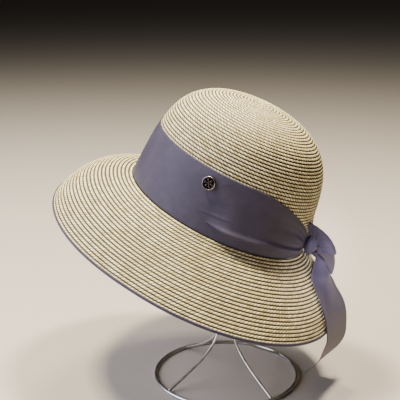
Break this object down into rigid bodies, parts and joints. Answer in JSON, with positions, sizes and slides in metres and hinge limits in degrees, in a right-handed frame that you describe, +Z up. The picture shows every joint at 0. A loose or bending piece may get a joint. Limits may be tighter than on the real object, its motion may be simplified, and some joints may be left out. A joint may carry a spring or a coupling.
{
  "type": "straw sun hat on wire hat stand",
  "caption": "Wide-brim straw sun hat with a wide ribbon band, a bow with a long tail and a round pin, resting tilted on a plain wire hat stand.",
  "frame": {"origin": "centre of the whole model's box, on the surface that the stand's ring lies on", "axes": "+Z up; the picture looks along +Y from slightly above, with +X to its right; the hat leans back towards +X and -Y"},
  "size_m": [0.323, 0.3024, 0.3235],
  "materials": {
    "straw": "spiral rows of flat paper-straw braid, matt",
    "ribbon": "lilac-grey ribbon with a soft sheen",
    "pin_metal": "near-black face with a worn bright lip",
    "steel": "smooth bare wire"
  },
  "bodies": {
    "root": {"crown": "straw", "brim": "straw", "brim_binding": "ribbon", "hat_band": "ribbon", "pin": "pin_metal", "bow_knot": "ribbon", "bow_loop_upper": "ribbon", "bow_loop_lower": "ribbon", "bow_tail": "ribbon", "wire_stand": "steel"}
  },
  "joints": []
}
